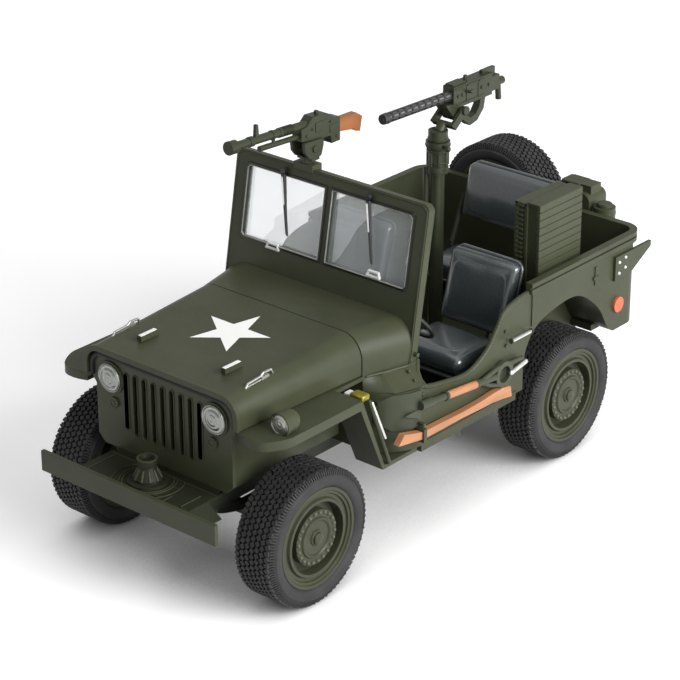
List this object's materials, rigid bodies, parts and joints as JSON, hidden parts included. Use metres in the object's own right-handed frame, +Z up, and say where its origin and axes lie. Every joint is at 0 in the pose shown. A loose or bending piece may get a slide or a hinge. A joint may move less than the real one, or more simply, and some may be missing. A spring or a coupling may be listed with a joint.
{
  "type": "open army 4x4 car model",
  "caption": "Open army 4x4 car scale model with opening hood, steering front wheels, swivelling toy gun mouldings, side tools and a spare wheel.",
  "frame": {"origin": "middle of the model's length and width, on the ground under the tyres", "axes": "+X to the vehicle's left, +Y to its rear, +Z up; the front faces -Y"},
  "size_m": [0.0883, 0.1914, 0.1148],
  "materials": {
    "olive_paint": "satin",
    "dark_mechanical": "matte",
    "tyre_rubber": "matte",
    "clear_glazing": "clear gloss",
    "lamp_silver": "bright, behind a clear lens",
    "silver_fittings": "bright",
    "black_plastic": "satin black",
    "seat_plastic": "glossy, moulded",
    "orange_handle": "satin",
    "gun_dark": "satin",
    "reflector_orange": "gloss"
  },
  "bodies": {
    "chassis": {"bumper_front": "olive_paint", "canister": "olive_paint", "cowl": "olive_paint", "dashboard": "olive_paint", "drive_shafts": "olive_paint", "engine_and_radiator": "dark_mechanical", "fender_left": "olive_paint", "fender_right": "olive_paint", "frame_rails": "olive_paint", "front_axle": "olive_paint", "front_deck": "olive_paint", "front_seat_backs": "seat_plastic", "front_seat_cushions": "seat_plastic", "fuel_can": "olive_paint", "grab_handles": "silver_fittings", "grille": "olive_paint", "gun_post": "olive_paint", "headlights": "lamp_silver", "leaf_springs": "olive_paint", "marker_lamps": "lamp_silver", "rear_axle": "olive_paint", "rear_brackets": "olive_paint", "rear_carriers": "olive_paint", "rear_seat_back": "seat_plastic", "rear_seat_cushion": "seat_plastic", "reflectors": "reflector_orange", "ribbed_box": "olive_paint", "seat_frames": "olive_paint", "shift_levers": "dark_mechanical", "shovel_and_axe": "olive_paint", "spare_rim": "olive_paint", "spare_tyre": "tyre_rubber", "steering_column": "dark_mechanical", "tool_handles": "orange_handle", "tub": "olive_paint", "windshield_frame": "olive_paint", "windshield_glass": "clear_glazing", "wipers": "black_plastic"},
    "knuckle_body_left": {"knuckle_left": "olive_paint"},
    "knuckle_body_right": {"knuckle_right": "olive_paint"},
    "tie_rod_body": {"tie_rod": "olive_paint"},
    "wheel_front_left": {"rim_front_left": "olive_paint", "tyre_front_left": "tyre_rubber"},
    "wheel_front_right": {"rim_front_right": "olive_paint", "tyre_front_right": "tyre_rubber"},
    "wheel_rear_left": {"rim_rear_left": "olive_paint", "tyre_rear_left": "tyre_rubber"},
    "wheel_rear_right": {"rim_rear_right": "olive_paint", "tyre_rear_right": "tyre_rubber"},
    "hood_body": {"hood": "olive_paint", "hood_fittings": "silver_fittings"},
    "steering_wheel_body": {"steering_wheel": "black_plastic"},
    "rear_gun_yoke": {"gun_yoke": "olive_paint"},
    "rear_gun_body": {"rear_gun": "olive_paint", "rear_gun_barrel": "black_plastic"},
    "front_gun_fork_body": {"front_gun_fork": "olive_paint"},
    "front_gun_body": {"front_gun": "olive_paint", "front_gun_barrel": "gun_dark", "front_gun_stock": "orange_handle"}
  },
  "joints": [
    {"name": "steer_left", "type": "hinge", "parent": "chassis", "child": "knuckle_body_left", "pos_m": [0.028, -0.06535, 0.01975], "axis": [0, 0, 1], "range_deg": [-25, 25]},
    {"name": "steer_right", "type": "hinge", "parent": "chassis", "child": "knuckle_body_right", "pos_m": [-0.028, -0.06535, 0.01975], "axis": [0, 0, 1], "range_deg": [-25, 25]},
    {"name": "tie_rod_pivot", "type": "hinge", "parent": "knuckle_body_left", "child": "tie_rod_body", "pos_m": [0.028, -0.05635, 0.0148], "axis": [0, 0, 1], "range_deg": [-25, 25]},
    {"name": "roll_front_left", "type": "hinge", "parent": "knuckle_body_left", "child": "wheel_front_left", "pos_m": [0.0352, -0.06535, 0.01975], "axis": [1, 0, 0], "continuous": true},
    {"name": "roll_front_right", "type": "hinge", "parent": "knuckle_body_right", "child": "wheel_front_right", "pos_m": [-0.0352, -0.06535, 0.01975], "axis": [1, 0, 0], "continuous": true},
    {"name": "roll_rear_left", "type": "hinge", "parent": "chassis", "child": "wheel_rear_left", "pos_m": [0.0352, 0.04765, 0.01975], "axis": [1, 0, 0], "continuous": true},
    {"name": "roll_rear_right", "type": "hinge", "parent": "chassis", "child": "wheel_rear_right", "pos_m": [-0.0352, 0.04765, 0.01975], "axis": [1, 0, 0], "continuous": true},
    {"name": "hood_hinge", "type": "hinge", "parent": "chassis", "child": "hood_body", "pos_m": [0, -0.03525, 0.0648], "axis": [-1, 0, 0], "range_deg": [0, 50]},
    {"name": "steering_wheel_turn", "type": "hinge", "parent": "chassis", "child": "steering_wheel_body", "pos_m": [0.0205, -0.00635, 0.0585], "axis": [0.0888, 0.7404, 0.6663], "range_deg": [-150, 150]},
    {"name": "rear_gun_traverse", "type": "hinge", "parent": "chassis", "child": "rear_gun_yoke", "pos_m": [0, 0.03495, 0.0939], "axis": [0, 0, 1], "continuous": true},
    {"name": "rear_gun_elevation", "type": "hinge", "parent": "rear_gun_yoke", "child": "rear_gun_body", "pos_m": [0, 0.04225, 0.1019], "axis": [-1, 0, 0], "range_deg": [-15, 30]},
    {"name": "front_gun_traverse", "type": "hinge", "parent": "chassis", "child": "front_gun_fork_body", "pos_m": [-0.0098, -0.01102, 0.098], "axis": [0, 0, 1], "range_deg": [-30, 30]},
    {"name": "front_gun_elevation", "type": "hinge", "parent": "front_gun_fork_body", "child": "front_gun_body", "pos_m": [-0.0098, -0.01102, 0.1025], "axis": [-1, 0, 0], "range_deg": [-12, 15]}
  ],
  "couplings": [
    {"joint": "steer_right", "follows": "steer_left", "ratio": 1},
    {"joint": "tie_rod_pivot", "follows": "steer_left", "ratio": -1}
  ]
}
